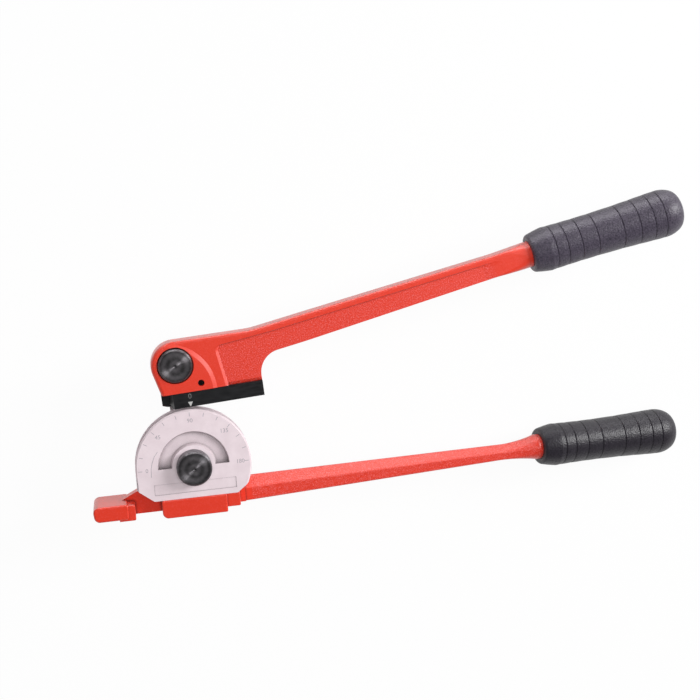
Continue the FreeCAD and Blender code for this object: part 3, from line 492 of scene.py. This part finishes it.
def materials():
    """Every CAD node gets its material."""
    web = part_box("slide_shoe")[1].z / MM - WEB_DEPTH / 2
    give(["upper_handle"], red_enamel("red_upper", "Z", web + MASK_EDGE, web - MASK_EDGE))
    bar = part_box("bending_former")[1].x / MM
    give(["lower_handle"], red_enamel("red_lower", "X", bar - MASK_EDGE, bar))
    give(["bending_former"], former_coat())
    # one plastic in a lit and a shaded copy: painted light on the upper grip, painted shade on
    # the lower
    give(["upper_grip"], pebbled_plastic("pebbled_upper_lit", UPPER_GRIP_LIT_TONES))
    give(["lower_grip"], pebbled_plastic("pebbled_lower_shaded", LOWER_GRIP_SHADED_TONES))
    give(["slide_shoe"], shoe_plastic())
    give(["shoe_spring_pin"], blackened_steel())
    for name in ("pivot_bolt", "head_bolt"):
        low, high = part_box(name)
        give([name], turned_steel(f"turned_{name}", (low + high) / 2 / MM))
    give(["link_bush", "head_bush", "pivot_thrust_washer", "head_thrust_washer"],
         sintered_bronze())
    give(["link_plate", "link_spacer", "former_dowels", "pivot_plain_washer", "pivot_nut",
          "head_plain_washer", "head_nut"], zinc_plate())


def floor():
    """White floor under the tool; the camera and reflections see it as plain white."""
    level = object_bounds()[0][2] - FLOOR_GAP * MM
    corners = [(x * FLOOR_REACH, y * FLOOR_REACH, level)
               for x, y in ((-1, -1), (1, -1), (1, 1), (-1, 1))]
    mesh = bpy.data.meshes.new("studio_floor")
    mesh.from_pydata(corners, [], [(0, 1, 2, 3)])
    paper = new_material("studio_paper")
    paper.shade(Base_Color=FLOOR_TONE, Roughness=0.9, Specular_IOR_Level=0.1)
    white = paper.add("ShaderNodeEmission")
    white.inputs["Strength"].default_value = 1.0
    path = paper.add("ShaderNodeLightPath")
    seen = paper.math("MAXIMUM", path.outputs["Is Camera Ray"], path.outputs["Is Glossy Ray"])
    mixer = paper.add("ShaderNodeMixShader")
    paper.feed(mixer.inputs["Fac"], paper.math("MULTIPLY", seen, FLOOR_WHITE))
    paper.feed(mixer.inputs[1], paper.shader.outputs["BSDF"])
    paper.feed(mixer.inputs[2], white.outputs["Emission"])
    output = paper.tree.nodes["Material Output"]
    paper.feed(output.inputs["Surface"], mixer.outputs["Shader"])
    mesh.materials.append(paper.owner)
    put("studio_floor", mesh)


def area_light(name, place, size, power, shiny=True, diffuse=True):
    """A softbox; one that isn't shiny shows in no reflection, one not diffuse only there."""
    data = bpy.data.lights.new(name, "AREA")
    data.shape = "RECTANGLE"
    data.size, data.size_y = size
    data.energy = power
    lamp = put(name, data)
    lamp.location = place
    lamp.rotation_euler = (LIGHT_TARGET - place).to_track_quat("-Z", "Y").to_euler()
    lamp.visible_glossy = shiny
    lamp.visible_diffuse = diffuse


def surround():
    """A dim room, white to the camera; reflections see white walls and a dark front."""
    room = Nodes(bpy.data.worlds.new("studio"))
    coords = room.add("ShaderNodeTexCoord")
    height = room.split(coords.outputs["Generated"], "Z")
    walls = room.span(height, (WALL_LOW, WALL_HIGH), (WALL_WHITE, WALL_DARK))
    path = room.add("ShaderNodeLightPath")
    mirrored = room.mix("Float", path.outputs["Is Glossy Ray"], ROOM_LIGHT, walls)
    seen = room.mix("Float", path.outputs["Is Camera Ray"], mirrored, 1.0)
    background = room.tree.nodes["Background"]
    background.inputs["Color"].default_value = (1, 1, 1, 1)
    room.feed(background.inputs["Strength"], seen)
    bpy.context.scene.world = room.owner


def lights():
    """A low key from the upper right, a long softbox above the handles, and a soft fill."""
    area_light("key_softbox", KEY_PLACE, KEY_SIZE, KEY_POWER)
    area_light("top_sheen", SHEEN_PLACE, SHEEN_SIZE, SHEEN_POWER, diffuse=False)
    area_light("front_fill", FILL_PLACE, FILL_SIZE, FILL_POWER, shiny=False)


def camera():
    """The photograph's camera."""
    data = bpy.data.cameras.new("camera")
    data.sensor_width = SENSOR
    data.lens = FOCAL_PIXELS / IMAGE_WIDTH * SENSOR
    data.clip_end = CAMERA_REACH
    right = CAMERA_RIGHT.normalized()
    back = right.cross(CAMERA_UP).normalized()
    up = back.cross(right)
    view = put("camera", data)
    view.matrix_world = (Matrix.Translation(CAMERA_PLACE)
                         @ Matrix((right, up, back)).transposed().to_4x4())
    bpy.context.scene.camera = view


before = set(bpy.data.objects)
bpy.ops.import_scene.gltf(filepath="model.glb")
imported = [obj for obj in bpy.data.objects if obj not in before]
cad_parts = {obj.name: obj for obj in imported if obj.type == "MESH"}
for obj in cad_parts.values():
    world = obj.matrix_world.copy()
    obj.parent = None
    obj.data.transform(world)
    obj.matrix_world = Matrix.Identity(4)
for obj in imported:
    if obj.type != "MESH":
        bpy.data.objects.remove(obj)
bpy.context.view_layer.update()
camera()
materials()
dial_marks()
shoe_marks()
pin_coil()
floor()
surround()
lights()
bpy.context.scene.view_settings.view_transform = "Standard"
